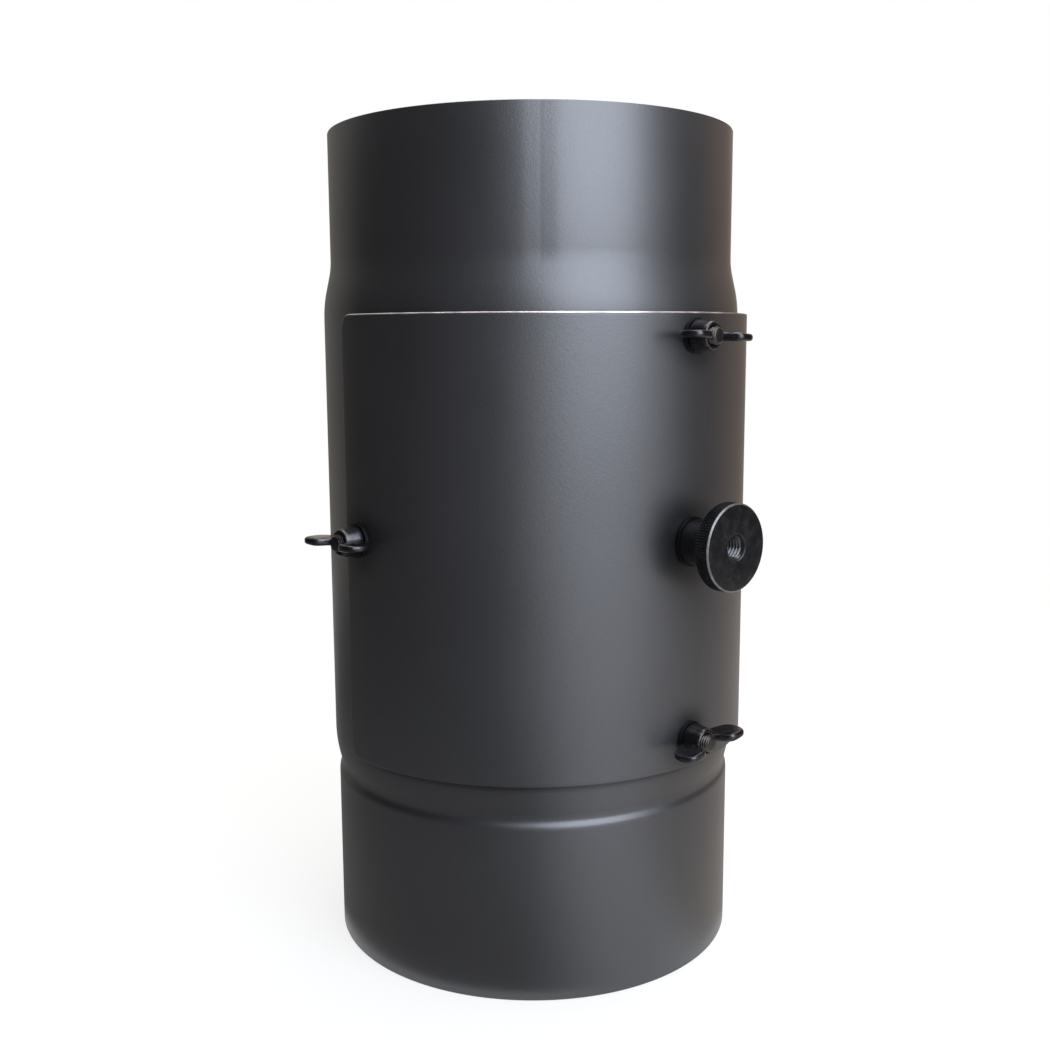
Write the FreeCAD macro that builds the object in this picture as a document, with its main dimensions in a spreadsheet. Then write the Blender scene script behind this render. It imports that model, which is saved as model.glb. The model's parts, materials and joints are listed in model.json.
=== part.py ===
# Flue pipe section with a filter disc that turns on an axle, behind a bolted hatch.
# Z runs up the pipe's axis, z = 0 is the bottom rim, and the hatch faces -Y. Millimetres.
import FreeCAD, Part
import math
import os
import Sketcher

os.makedirs("parts", exist_ok=True)
doc = FreeCAD.newDocument("flue_filter")

# Driving dimensions: name, value, what it is
DIMENSIONS = [
    ("wall", 1.5, "sheet thickness of the pipe"),
    ("total_height", 303.0, "bottom rim to top rim"),
    ("spigot_radius", 75.0, "outside of the plain top end, for a 150 flue"),
    ("spigot_length", 48.5, "straight part of the plain top end"),
    ("cone_height", 11.3, "straight cone below the plain end"),
    ("cone_foot_drop", 0.4, "cone foot inside the wide middle"),
    ("cone_foot_height", 2.0, "rounding between cone and wide middle"),
    ("widening", 2.9, "wide middle beyond the plain end, all round"),
    ("shoulder_height", 16.5, "height of the lower shoulder, from the collar to the wide middle"),
    ("collar_sheet", 1.5, "sheet thickness of the collar"),
    ("collar_height", 64.0, "height of the collar at the bottom"),
    ("socket_depth", 50.0, "how far a flue pipe enters the collar"),
    ("slip_gap", 0.3, "radial gap between the collar and a flue pipe"),
    ("seat_inset", 0.6, "seat of the collar inside its socket, all round"),
    ("seat_inset_height", 1.0, "height over which the collar narrows to its seat"),
    ("collar_lip", 1.2, "radius of the collar's rolled top edge"),
    ("window_margin", 7.7, "cleaning window's edges from the upper and lower studs"),
    ("window_angle", 160.0, "width of the cleaning window round the pipe, degrees"),
    ("window_corner", 12.0, "corner radius of the cleaning window"),
    ("gasket", 2.0, "thickness of the fibre gasket"),
    ("gasket_inset", 1.5, "gasket edge inside the hatch's top and bottom edges"),
    ("gasket_angle", 190.0, "width of the gasket round the pipe, degrees"),
    ("gasket_lap", 0.8, "gasket opening beyond the window's top and bottom edges"),
    ("gasket_window_angle", 161.0, "width of the gasket's opening, degrees"),
    ("gasket_corner", 4.0, "corner radius of the gasket"),
    ("hatch_sheet", 1.5, "thickness of the hatch sheet"),
    ("hatch_top_gap", 3.9, "hatch's top edge below the wide middle's top"),
    ("hatch_overhang", 1.2, "hatch's lower edge below the wide middle's foot"),
    ("hatch_angle", 192.0, "width of the hatch round the pipe, degrees"),
    ("hatch_corner", 5.0, "corner radius of the hatch"),
    ("slot_reach", 20.0, "open side slots beyond a side stud's axis, past the sheet's edge"),
    ("stud_top_margin", 8.0, "upper stud below the hatch's top edge"),
    ("stud_foot_margin", 10.6, "lower stud above the hatch's lower edge"),
    ("stud_radius", 3.0, "M6 weld stud"),
    ("stud_beyond", 2.2, "stud's end beyond its wing nut's hub"),
    ("stud_chamfer", 0.7, "chamfer at a stud's end"),
    ("stud_hole_gap", 0.6, "radial clearance of the hatch's holes round a stud"),
    ("gasket_hole_gap", 1.6, "radial clearance of the gasket's holes round a stud"),
    ("seat_gap", 0.1, "gap under a washer and under a nut"),
    ("washer_radius", 6.0, "outside of an M6 washer"),
    ("washer_hole_gap", 0.1, "radial clearance of a washer on its stud"),
    ("washer_sheet", 1.2, "thickness of a washer"),
    ("nut_base_radius", 5.9, "foot of a wing nut's hub"),
    ("nut_top_radius", 4.7, "outer end of a wing nut's hub"),
    ("nut_height", 6.8, "height of a wing nut's hub"),
    ("thread_gap", 0.06, "radial clearance of a nut on its stud"),
    ("wing_reach", 14.8, "wing's end from the nut's axis"),
    ("wing_height", 12.6, "wing's top above the nut's foot"),
    ("wing_radius", 4.4, "radius of a wing's round end"),
    ("wing_root", 3.8, "where a wing's neck starts inside the hub"),
    ("wing_neck_foot", 1.0, "foot of a wing's neck above the nut's foot"),
    ("wing_sheet", 2.4, "thickness of a wing"),
    ("top_nut_turn", -3.0, "how far the top wing nut is turned, degrees"),
    ("bottom_nut_turn", 8.0, "how far the bottom wing nut is turned, degrees"),
    ("left_nut_turn", 0.0, "how far the left wing nut is turned, degrees"),
    ("right_nut_turn", 5.0, "how far the right wing nut is turned, degrees"),
    ("axle_radius", 5.0, "filter axle"),
    ("axle_gap", 0.05, "radial clearance of the axle in its bushes"),
    ("axle_flange_radius", 7.5, "flange that joins an axle to the filter's ring"),
    ("axle_flange", 2.2, "height of that flange"),
    ("thread_radius", 4.0, "M8 end of the front axle"),
    ("thread_length", 11.5, "length of the M8 end"),
    ("thread_chamfer", 0.8, "chamfer at the end of the M8 thread"),
    ("bush_radius", 7.5, "outside of the hatch bush"),
    ("bush_inward", 2.3, "hatch bush inside the hatch sheet"),
    ("bush_outward", 0.2, "hatch bush outside the hatch sheet"),
    ("running_gap", 0.3, "gap between the hatch bush and the friction washer"),
    ("friction_washer_radius", 8.6, "outside of the friction washer"),
    ("friction_washer_sheet", 0.6, "thickness of the friction washer"),
    ("knob_radius", 15.0, "knurled disc of the knob"),
    ("knob_disc", 6.0, "thickness of the knurled disc"),
    ("knob_height", 18.0, "knob from foot to face"),
    ("knob_hub_radius", 8.0, "hub of the knob"),
    ("knob_chamfer", 0.8, "chamfer of the knurled disc"),
    ("knob_mouth", 0.5, "chamfer at the mouth of the knob's thread"),
    ("knob_fillet", 1.5, "rounding between the knob's hub and disc"),
    ("cup_radius", 8.0, "outside of the rear bearing cup"),
    ("cup_inward", 0.8, "mouth of the rear bearing cup inside the pipe's wall"),
    ("cup_depth", 4.8, "depth of the rear bearing cup's bore"),
    ("cup_floor", 1.6, "end wall of the rear bearing cup"),
    ("cup_chamfer", 0.8, "chamfer of the rear bearing cup"),
    ("cup_end_gap", 0.5, "gap between the rear axle's end and the cup's floor"),
    ("swing_gap", 3.4, "gap between the filter's ring and the pipe's wall"),
    ("ring_sheet", 1.5, "thickness of the filter's ring"),
    ("ring_height", 30.0, "height of the filter's ring"),
    ("ring_lip", 4.5, "width of the ring's bottom lip"),
    ("mat", 2.0, "thickness of the mat round the honeycomb"),
    ("cell_pitch", 11.0, "honeycomb cell to cell"),
    ("cell_wall", 1.6, "wall between honeycomb cells"),
    ("element_rim", 2.5, "least solid skin round the honeycomb"),
    ("snap_wire", 1.1, "radius of the snap ring's wire"),
    ("snap_edge", 0.8, "snap ring below the filter ring's top edge"),
    ("snap_angle", 350.0, "how far the snap ring reaches round, degrees"),
]
sheet = doc.addObject("Spreadsheet::Sheet", "dim")
for row, (alias, value, meaning) in enumerate(DIMENSIONS, start=1):
    sheet.set(f"A{row}", meaning)
    sheet.set(f"B{row}", str(value))
    sheet.setAlias(f"B{row}", alias)
doc.recompute()


class Size:
    """A size as a formula over the sheet's cells, with its present value."""

    def __init__(self, text, value):
        self.text = text
        self.value = value

    def joined(self, sign, other, value):
        right = other.text if isinstance(other, Size) else str(other)
        return Size(f"({self.text} {sign} {right})", value)

    def __add__(self, other):
        return self.joined("+", other, self.value + amount(other))

    def __sub__(self, other):
        return self.joined("-", other, self.value - amount(other))

    def __mul__(self, other):
        return self.joined("*", other, self.value * amount(other))

    def __truediv__(self, other):
        return self.joined("/", other, self.value / amount(other))

    def __neg__(self):
        return Size(f"(0 - {self.text})", -self.value)


def amount(size):
    return size.value if isinstance(size, Size) else size


def cell(alias):
    return Size(f"dim.{alias}", getattr(sheet, alias))


def bind(thing, prop, size):
    thing.setExpression(prop, size.text)


zero = Size("0", 0.0)
half_circle = 1.0001  # radius of a round end over half its chord, a shade over so that the arc closes
same = 0.001  # two measures closer than this are equal


# Bodies, sketches and the features that they carry
def new_body(name):
    body = doc.addObject("PartDesign::Body", name)
    body.Label = name
    return body


def new_sketch(body, role):
    sketch = body.newObject("Sketcher::SketchObject", f"{body.Name}_sketch")
    plane = next(item for item in body.Origin.OriginFeatures if item.Role == role)
    sketch.AttachmentSupport = [(plane, "")]
    sketch.MapMode = "FlatFace"
    return sketch


def pin_point(sketch, edge, end, corner):
    """Dimension one point of an edge from the sketch's origin."""
    for kind, axis, size in (("DistanceX", -2, corner[0]), ("DistanceY", -1, corner[1])):
        if size is zero:
            sketch.addConstraint(Sketcher.Constraint("PointOnObject", edge, end, axis))
            continue
        index = sketch.addConstraint(Sketcher.Constraint(kind, -1, 1, edge, end, size.value))
        bind(sketch, f"Constraints[{index}]", size)


def outline(sketch, corners, arcs=None):
    """A closed outline. arcs maps an edge's number to its radius, plus bulging to the edge's right."""
    arcs = arcs or {}
    first = sketch.GeometryCount
    count = len(corners)
    points = [FreeCAD.Vector(x.value, y.value, 0) for x, y in corners]
    for number in range(count):
        start, end = points[number], points[(number + 1) % count]
        if number not in arcs:
            sketch.addGeometry(Part.LineSegment(start, end))
            continue
        radius, side = arcs[number]
        chord = end - start
        sagitta = radius.value - math.sqrt(radius.value**2 - (chord.Length / 2) ** 2)
        outward = FreeCAD.Vector(chord.y, -chord.x, 0).normalize() * (side * sagitta)
        sketch.addGeometry(Part.Arc(start, (start + end) / 2 + outward, end))
    for number in range(count):
        # an arc that turns left keeps its start and end, and one that turns right swaps them
        edge, following = first + number, first + (number + 1) % count
        leave = 1 if number in arcs and arcs[number][1] < 0 else 2
        after = (number + 1) % count
        arrive = 2 if after in arcs and arcs[after][1] < 0 else 1
        sketch.addConstraint(Sketcher.Constraint("Coincident", edge, leave, following, arrive))
        pin_point(sketch, following, arrive, corners[after])
        if number in arcs:
            radius = arcs[number][0]
            index = sketch.addConstraint(Sketcher.Constraint("Radius", edge, radius.value))
            bind(sketch, f"Constraints[{index}]", radius)


def circle(sketch, x, y, radius):
    centre = FreeCAD.Vector(x.value, y.value, 0)
    edge = sketch.addGeometry(Part.Circle(centre, FreeCAD.Vector(0, 0, 1), radius.value))
    pin_point(sketch, edge, 3, (x, y))
    index = sketch.addConstraint(Sketcher.Constraint("Radius", edge, radius.value))
    bind(sketch, f"Constraints[{index}]", radius)


def turned(body, corners, arcs=None, role="XZ_Plane", sweep=None, cut=False):
    """Turn an outline about the body's Z axis, all the way round or through the sweep angle."""
    sketch = new_sketch(body, role)
    outline(sketch, corners, arcs)
    kind = "Groove" if cut else "Revolution"
    feature = body.newObject(f"PartDesign::{kind}", f"{body.Name}_{kind.lower()}")
    feature.Profile = sketch
    feature.ReferenceAxis = (sketch, ["V_Axis"])
    feature.Angle = 360
    if sweep:
        feature.Midplane = True
        bind(feature, "Angle", sweep)
    doc.recompute()
    return feature


def cut_through(body, role, draw, reverse=False, both=False):
    """Cut what draw puts in a sketch right through one side of the body, or both."""
    sketch = new_sketch(body, role)
    draw(sketch)
    feature = body.newObject("PartDesign::Pocket", f"{body.Name}_pocket")
    feature.Profile = sketch
    feature.Type = 1
    feature.Reversed = reverse
    feature.Midplane = both
    before = body.Shape.Volume
    doc.recompute()
    if not body.Shape.Volume < before:
        raise RuntimeError(f"{body.Label}: a cut removes nothing")
    return feature


def round_corners(body, feature, radius):
    """Round the short radial edges at the corners of a curved sheet or of the hole in it."""
    found = []
    for number, edge in enumerate(feature.Shape.Edges, start=1):
        ends = [vertex.Point for vertex in edge.Vertexes]
        if len(ends) == 2 and isinstance(edge.Curve, Part.Line):
            level = abs(ends[0].z - ends[1].z) < same
            radial = abs(ends[0].x * ends[1].y - ends[0].y * ends[1].x) < same
            if level and radial:
                found.append(f"Edge{number}")
    fillet = body.newObject("PartDesign::Fillet", f"{body.Name}_corners")
    fillet.Base = (feature, found)
    bind(fillet, "Radius", radius)
    doc.recompute()
    return fillet


def face_outwards(body, azimuth, height, turn=None):
    """Turn a body whose own Z axis is radial to an azimuth from the hatch's middle, at a height."""
    spin = FreeCAD.Rotation(FreeCAD.Vector(0, 0, 1), azimuth)
    lay = FreeCAD.Rotation(FreeCAD.Vector(1, 0, 0), 90)
    own = FreeCAD.Rotation(FreeCAD.Vector(0, 0, 1), turn.value if turn else 0)
    body.Placement = FreeCAD.Placement(FreeCAD.Vector(0, 0, height.value), spin * lay * own)
    bind(body, "Placement.Base.z", height)


def saddle(body, radius):
    """Cut a radial piece's foot to the round surface that it is welded to."""
    cut_through(body, "XZ_Plane", lambda sketch: circle(sketch, zero, zero, radius), both=True)


# Sizes worked out from the driving ones
wall = cell("wall")
spigot_radius = cell("spigot_radius")
body_radius = spigot_radius + cell("widening")
socket_radius = spigot_radius + cell("slip_gap")
seat_radius = socket_radius - cell("seat_inset")
tail_foot = cell("socket_depth") + cell("seat_inset_height")
collar_top = cell("collar_height")
shoulder_top = collar_top + cell("shoulder_height")
spigot_foot = cell("total_height") - cell("spigot_length")
cone_foot = spigot_foot - cell("cone_height")
body_top = cone_foot - cell("cone_foot_height")
hatch_low = shoulder_top - cell("hatch_overhang")
hatch_high = body_top - cell("hatch_top_gap")
stud_low = hatch_low + cell("stud_foot_margin")
stud_high = hatch_high - cell("stud_top_margin")
axle_height = (stud_low + stud_high) / 2
hatch_inner = body_radius + cell("gasket")
hatch_outer = hatch_inner + cell("hatch_sheet")
washer_foot = hatch_outer + cell("seat_gap")
nut_foot = washer_foot + cell("washer_sheet") + cell("seat_gap")
bush_end = hatch_outer + cell("bush_outward")
knob_foot = bush_end + cell("running_gap") + cell("friction_washer_sheet")
cup_mouth = body_radius - wall - cell("cup_inward")
cup_bore_end = cup_mouth + cell("cup_depth")
ring_radius = body_radius - wall - cell("swing_gap")
ring_inner = ring_radius - cell("ring_sheet")
ring_foot = axle_height - cell("ring_height") / 2
element_radius = ring_inner - cell("mat")
element_foot = ring_foot + cell("ring_sheet")
snap_middle = ring_foot + cell("ring_height") - cell("snap_edge") - cell("snap_wire")
element_height = snap_middle - cell("snap_wire") - element_foot
stud_radius = cell("stud_radius")
axle_bore = cell("axle_radius") + cell("axle_gap")

# where each stud stands: azimuth from the hatch's middle, height, how far its wing nut is turned
STUDS = {
    "top": (0, stud_high, cell("top_nut_turn")),
    "bottom": (0, stud_low, cell("bottom_nut_turn")),
    "left": (-90, axle_height, cell("left_nut_turn")),
    "right": (90, axle_height, cell("right_nut_turn")),
}


def rectangle(x_low, x_high, y_low, y_high):
    return [(x_low, y_low), (x_high, y_low), (x_high, y_high), (x_low, y_high)]


def window_cut(body, angle, lap):
    """The cleaning window: a groove through the sheet, with rounded corners."""
    low = stud_low + cell("window_margin") - lap
    high = stud_high - cell("window_margin") + lap
    inner = -(hatch_outer + wall)
    groove = turned(
        body, rectangle(inner, -ring_radius, low, high), role="YZ_Plane", sweep=angle, cut=True
    )
    found = []
    for number, edge in enumerate(groove.Shape.Edges, start=1):
        ends = [vertex.Point for vertex in edge.Vertexes]
        if len(ends) != 2 or not isinstance(edge.Curve, Part.Line):
            continue
        on_edge = min(abs(ends[0].z - low.value), abs(ends[0].z - high.value)) < same
        if on_edge and abs(ends[0].z - ends[1].z) < same:
            found.append(f"Edge{number}")
    fillet = body.newObject("PartDesign::Fillet", f"{body.Name}_window_corners")
    fillet.Base = (groove, found)
    bind(fillet, "Radius", cell("window_corner"))
    doc.recompute()


# Main pipe: one rolled and seam-welded sheet, widened in the middle
def make_main_pipe():
    body = new_body("main_pipe")
    cone_radius = body_radius - cell("cone_foot_drop")
    outside = [
        (seat_radius, tail_foot),
        (seat_radius, collar_top),
        (body_radius, shoulder_top),
        (body_radius, body_top),
        (cone_radius, cone_foot),
        (spigot_radius, spigot_foot),
        (spigot_radius, cell("total_height")),
    ]
    inside = [(radius - wall, height) for radius, height in reversed(outside)]
    # the shoulder's curve runs smoothly into the wide middle
    narrowing = body_radius - seat_radius
    rise = cell("shoulder_height")
    bend = (rise * rise / narrowing + narrowing) / 2
    turned(body, outside + inside, arcs={1: (bend, 1), 11: (bend, -1)})
    window_cut(body, cell("window_angle"), zero)
    cut_through(
        body, "XZ_Plane", lambda sketch: circle(sketch, zero, axle_height, cell("cup_radius"))
    )


# Collar: a short socket pipe with a rolled top edge, welded round the main pipe's lower end
def make_lower_collar():
    body = new_body("lower_collar")
    outer = socket_radius + cell("collar_sheet")
    lip = cell("collar_lip")
    corners = [
        (socket_radius, zero),
        (outer, zero),
        (outer, collar_top - lip),
        (outer - lip, collar_top),
        (seat_radius, collar_top),
        (seat_radius, tail_foot),
        (socket_radius, cell("socket_depth")),
    ]
    turned(body, corners, arcs={2: (lip, 1)})


# Hatch: a curved cover sheet with stud holes, open slots at its sides and a hole for the bush
def stud_holes(body, radius, bush=None):
    def holes(sketch):
        circle(sketch, zero, stud_high, radius)
        circle(sketch, zero, stud_low, radius)
        if bush:
            circle(sketch, zero, axle_height, bush)

    def slots(sketch):
        reach = cell("slot_reach")
        round_end = radius * half_circle
        corners = [
            (zero, axle_height - radius),
            (reach, axle_height - radius),
            (reach, axle_height + radius),
            (zero, axle_height + radius),
        ]
        outline(sketch, corners, arcs={3: (round_end, 1)})

    cut_through(body, "XZ_Plane", holes, reverse=True)
    cut_through(body, "YZ_Plane", slots, both=True)


def curved_sheet(name, inner, outer, low, high, angle, corner):
    body = new_body(name)
    section = rectangle(-outer, -inner, low, high)
    feature = turned(body, section, role="YZ_Plane", sweep=angle)
    round_corners(body, feature, corner)
    return body


def make_hatch():
    inset = cell("gasket_inset")
    cover = curved_sheet(
        "hatch_cover", hatch_inner, hatch_outer, hatch_low, hatch_high,
        cell("hatch_angle"), cell("hatch_corner"),
    )
    stud_holes(cover, stud_radius + cell("stud_hole_gap"), cell("bush_radius"))
    gasket = curved_sheet(
        "hatch_gasket", body_radius, hatch_inner, hatch_low + inset, hatch_high - inset,
        cell("gasket_angle"), cell("gasket_corner"),
    )
    window_cut(gasket, cell("gasket_window_angle"), cell("gasket_lap"))
    stud_holes(gasket, stud_radius + cell("gasket_hole_gap"))


# Studs, washers and wing nuts: each is drawn with its own Z axis pointing out of the pipe
def make_stud(place, azimuth, height):
    body = new_body(f"{place}_stud")
    tip = nut_foot + cell("nut_height") + cell("stud_beyond")
    chamfer = cell("stud_chamfer")
    below = body_radius - stud_radius
    corners = [
        (zero, below),
        (stud_radius, below),
        (stud_radius, tip - chamfer),
        (stud_radius - chamfer, tip),
        (zero, tip),
    ]
    turned(body, corners)
    saddle(body, body_radius)
    face_outwards(body, azimuth, height)


def make_washer(place, azimuth, height):
    body = new_body(f"{place}_washer")
    hole = stud_radius + cell("washer_hole_gap")
    top = washer_foot + cell("washer_sheet")
    turned(body, rectangle(hole, cell("washer_radius"), washer_foot, top))
    face_outwards(body, azimuth, height)


def make_wing_nut(place, azimuth, height, turn):
    body = new_body(f"{place}_wing_nut")
    bore = stud_radius + cell("thread_gap")
    hub_top = nut_foot + cell("nut_height")
    hub = [
        (zero, nut_foot),
        (cell("nut_base_radius"), nut_foot),
        (cell("nut_top_radius"), hub_top),
        (zero, hub_top),
    ]
    turned(body, hub)
    root = cell("wing_root")
    lobe = cell("wing_radius")
    out = cell("wing_reach") - lobe
    rise = nut_foot + cell("wing_height") - lobe
    foot = nut_foot + cell("wing_neck_foot")
    # the neck meets the lobe's circle at two points of a 3-4-5 triangle
    short = lobe * 3 / 5
    long = lobe * 4 / 5
    neck = [(root, foot), (out + short, rise - long), (out - long, rise + short), (root, hub_top)]
    for side in (1, -1):
        for shape in ("lobe", "neck"):
            sketch = new_sketch(body, "XZ_Plane")
            if shape == "lobe":
                circle(sketch, out * side, rise, lobe)
            else:
                outline(sketch, [(x * side, y) for x, y in neck])
            pad = body.newObject("PartDesign::Pad", f"{body.Name}_{shape}")
            pad.Profile = sketch
            pad.Midplane = True
            bind(pad, "Length", cell("wing_sheet"))
            doc.recompute()
    cut_through(body, "XY_Plane", lambda sketch: circle(sketch, zero, zero, bore), both=True)
    face_outwards(body, azimuth, height, turn)


# Knob and axles
def make_knob():
    body = new_body("knob")
    hub = cell("knob_hub_radius")
    disc = cell("knob_radius")
    bore = cell("thread_radius")
    face = knob_foot + cell("knob_height")
    disc_foot = face - cell("knob_disc")
    chamfer = cell("knob_chamfer")
    fillet = cell("knob_fillet")
    mouth = cell("knob_mouth")
    corners = [
        (bore, knob_foot),
        (hub - mouth, knob_foot),
        (hub, knob_foot + mouth),
        (hub, disc_foot - fillet),
        (hub + fillet, disc_foot),
        (disc - chamfer, disc_foot),
        (disc, disc_foot + chamfer),
        (disc, face - chamfer),
        (disc - chamfer, face),
        (bore + mouth, face),
        (bore, face - mouth),
    ]
    turned(body, corners, arcs={3: (fillet, -1)})
    face_outwards(body, 0, axle_height)
    ring = new_body("friction_washer")
    inner_face = knob_foot - cell("friction_washer_sheet")
    section = rectangle(axle_bore, cell("friction_washer_radius"), inner_face, knob_foot)
    turned(ring, section)
    face_outwards(ring, 0, axle_height)


def axle_foot():
    """The flange that is welded to the filter's ring, up to where the shaft leaves it."""
    below = ring_radius - cell("axle_flange")
    top = ring_radius + cell("axle_flange")
    flange = cell("axle_flange_radius")
    return [(zero, below), (flange, below), (flange, top), (cell("axle_radius"), top)]


def make_axles():
    front = new_body("front_axle")
    shaft = cell("axle_radius")
    thread = cell("thread_radius")
    chamfer = cell("thread_chamfer")
    end = knob_foot + cell("thread_length")
    front_corners = axle_foot() + [
        (shaft, knob_foot),
        (thread, knob_foot),
        (thread, end - chamfer),
        (thread - chamfer, end),
        (zero, end),
    ]
    turned(front, front_corners)
    saddle(front, ring_radius)
    face_outwards(front, 0, axle_height)
    rear = new_body("rear_axle")
    rear_end = cup_bore_end - cell("cup_end_gap")
    turned(rear, axle_foot() + [(shaft, rear_end), (zero, rear_end)])
    saddle(rear, ring_radius)
    face_outwards(rear, 180, axle_height)


# Bearings: a plain bush in the hatch and a blind cup in the pipe's back
def make_bearings():
    bush = new_body("hatch_bush")
    bush_foot = hatch_inner - cell("bush_inward")
    turned(bush, rectangle(axle_bore, cell("bush_radius"), bush_foot, bush_end))
    face_outwards(bush, 0, axle_height)
    cup = new_body("rear_bearing")
    outer = cell("cup_radius")
    end = cup_bore_end + cell("cup_floor")
    chamfer = cell("cup_chamfer")
    corners = [
        (axle_bore, cup_mouth),
        (outer, cup_mouth),
        (outer, end - chamfer),
        (outer - chamfer, end),
        (zero, end),
        (zero, cup_bore_end),
        (axle_bore, cup_bore_end),
    ]
    turned(cup, corners)
    face_outwards(cup, 180, axle_height)


# Filter disc: a sheet ring with a bottom lip, a mat, a honeycomb and a snap ring
def make_filter_ring():
    body = new_body("filter_ring")
    lip = ring_radius - cell("ring_lip")
    top = ring_foot + cell("ring_height")
    corners = [
        (lip, ring_foot),
        (ring_radius, ring_foot),
        (ring_radius, top),
        (ring_inner, top),
        (ring_inner, element_foot),
        (lip, element_foot),
    ]
    turned(body, corners)
    mat = new_body("element_mat")
    turned(mat, rectangle(element_radius, ring_inner, element_foot, element_foot + element_height))
    wire = cell("snap_wire")
    ring = doc.addObject("Part::Torus", "snap_ring")
    ring.Label = "snap_ring"
    bind(ring, "Radius1", ring_inner - wire)
    bind(ring, "Radius2", wire)
    bind(ring, "Angle3", cell("snap_angle"))
    bind(ring, "Placement.Base.z", snap_middle)


def make_filter_element():
    """Square cells are cut through a disc wherever a whole cell fits inside its solid skin."""
    pitch = amount(cell("cell_pitch"))
    cell_width = pitch - amount(cell("cell_wall"))
    height = amount(element_height)
    foot = amount(element_foot)
    room = amount(element_radius) - amount(cell("element_rim"))
    disc = Part.makeCylinder(amount(element_radius), height, FreeCAD.Vector(0, 0, foot))
    reach = math.ceil(room / pitch)
    tools = []
    for column in range(-reach, reach + 1):
        for rank in range(-reach, reach + 1):
            x = column * pitch
            y = rank * pitch
            corner = math.hypot(abs(x) + cell_width / 2, abs(y) + cell_width / 2)
            if corner <= room:
                low = FreeCAD.Vector(x - cell_width / 2, y - cell_width / 2, foot - height)
                tools.append(Part.makeBox(cell_width, cell_width, height * 3, low))
    element = doc.addObject("Part::Feature", "filter_element")
    element.Label = "filter_element"
    element.Shape = disc.cut(Part.makeCompound(tools))


make_main_pipe()
make_lower_collar()
make_hatch()
for place, (azimuth, height, turn) in STUDS.items():
    make_stud(place, azimuth, height)
    make_washer(place, azimuth, height)
    make_wing_nut(place, azimuth, height, turn)
make_knob()
make_axles()
make_bearings()
make_filter_ring()
make_filter_element()
doc.recompute()

# Every object must have been built, and every sub-part must be one valid solid
for thing in doc.Objects:
    if "Invalid" in thing.State or "Error" in thing.State:
        raise RuntimeError(f"{thing.Label} failed: {thing.State}")
subparts = [
    thing for thing in doc.Objects
    if thing.TypeId in ("PartDesign::Body", "Part::Torus", "Part::Feature")
]
for thing in subparts:
    if thing.Shape.isNull() or not thing.Shape.isValid() or len(thing.Shape.Solids) != 1:
        raise RuntimeError(f"{thing.Label} is not one valid solid")
for thing in subparts:
    thing.Shape.exportStep(f"parts/{thing.Label}.step")
    print(f"{thing.Label}: {thing.Shape.Volume:.1f} mm3")
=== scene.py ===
import json
import math

import bmesh
import bpy
import numpy as np
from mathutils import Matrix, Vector


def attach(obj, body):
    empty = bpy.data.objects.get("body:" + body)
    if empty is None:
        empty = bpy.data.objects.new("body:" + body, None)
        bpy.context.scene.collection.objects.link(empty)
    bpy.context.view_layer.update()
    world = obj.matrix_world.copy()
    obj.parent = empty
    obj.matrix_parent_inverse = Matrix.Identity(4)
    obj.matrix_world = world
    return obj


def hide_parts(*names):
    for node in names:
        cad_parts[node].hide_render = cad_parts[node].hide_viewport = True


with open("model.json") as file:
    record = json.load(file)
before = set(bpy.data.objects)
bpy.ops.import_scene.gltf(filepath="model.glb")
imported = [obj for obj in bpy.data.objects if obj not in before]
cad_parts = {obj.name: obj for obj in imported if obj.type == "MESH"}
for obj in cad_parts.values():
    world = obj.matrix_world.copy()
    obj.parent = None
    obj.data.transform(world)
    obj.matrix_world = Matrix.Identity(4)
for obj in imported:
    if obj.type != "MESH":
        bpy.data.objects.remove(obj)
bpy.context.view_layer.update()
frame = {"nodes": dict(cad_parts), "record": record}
mm = 0.001
rad = math.radians
axleHeight = 159.6  # millimetres above the bottom rim, as are all heights below
# where each wing nut stands: degrees round, height, and how far the nut is turned
nutPlaces = {
    "top": (0, 229.3, -3), "bottom": (0, 89.9, 8), "left": (-90, axleHeight, 0), "right": (90, axleHeight, 5),
}
rimShare = 0.3  # the middle point of a rounded rim lies this share of its rounding from both faces


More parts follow.
